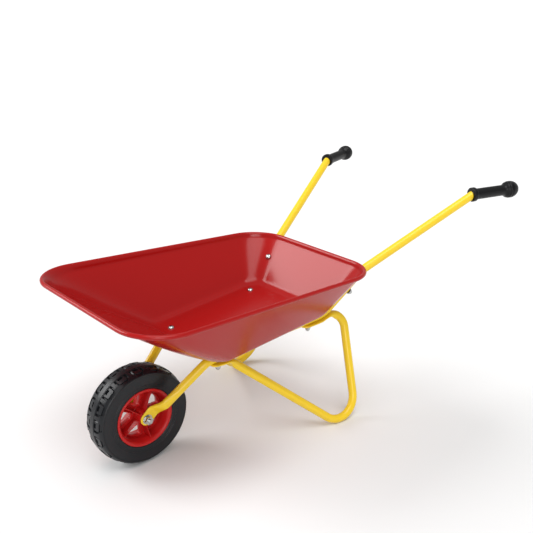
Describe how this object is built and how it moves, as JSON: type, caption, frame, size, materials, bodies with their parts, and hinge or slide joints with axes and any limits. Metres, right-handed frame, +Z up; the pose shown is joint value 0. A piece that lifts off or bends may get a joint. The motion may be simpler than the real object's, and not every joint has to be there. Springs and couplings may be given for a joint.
{
  "type": "wheelbarrow",
  "caption": "Small metal wheelbarrow with a flared pressed tray, two bent handle tubes forming the wheel fork, bent leg loops, bulb-ended grips and one spoked wheel.",
  "frame": {"origin": "on the floor, in the middle of the overall length and width", "axes": "+X towards the wheel, +Y to the left of the person pushing, +Z up"},
  "size_m": [0.8443, 0.4818, 0.4138],
  "materials": {
    "tray_paint": "glossy red powder coat",
    "tube_paint": "glossy yellow powder coat",
    "grip_plastic": "black satin plastic",
    "zinc": "zinc plated",
    "dark_washer": "dark sealing washer",
    "tyre_rubber": "black moulded rubber",
    "rim_plastic": "red moulded plastic",
    "bush_plastic": "black plastic"
  },
  "bodies": {
    "frame": {"tray": "tray_paint", "handle_left": "tube_paint", "handle_right": "tube_paint", "leg_left": "tube_paint", "leg_right": "tube_paint", "grip_left": "grip_plastic", "grip_right": "grip_plastic", "front_floor_bolts": "zinc", "rear_floor_bolts": "zinc", "wall_bolts": "zinc", "front_floor_washers": "dark_washer", "rear_floor_washers": "dark_washer", "wall_washers": "dark_washer", "front_floor_nuts": "zinc", "rear_floor_nuts": "zinc", "wall_nuts": "zinc", "axle_bolt": "zinc", "axle_nut": "zinc", "axle_washers": "zinc", "axle_spacers": "zinc"},
    "wheel": {"wheel_tyre": "tyre_rubber", "wheel_rim": "rim_plastic", "hub_bushes": "bush_plastic"}
  },
  "joints": [
    {"name": "wheel_spin", "type": "hinge", "parent": "frame", "child": "wheel", "pos_m": [0.3321, 0, 0.09], "axis": [0, 1, 0], "continuous": true}
  ]
}
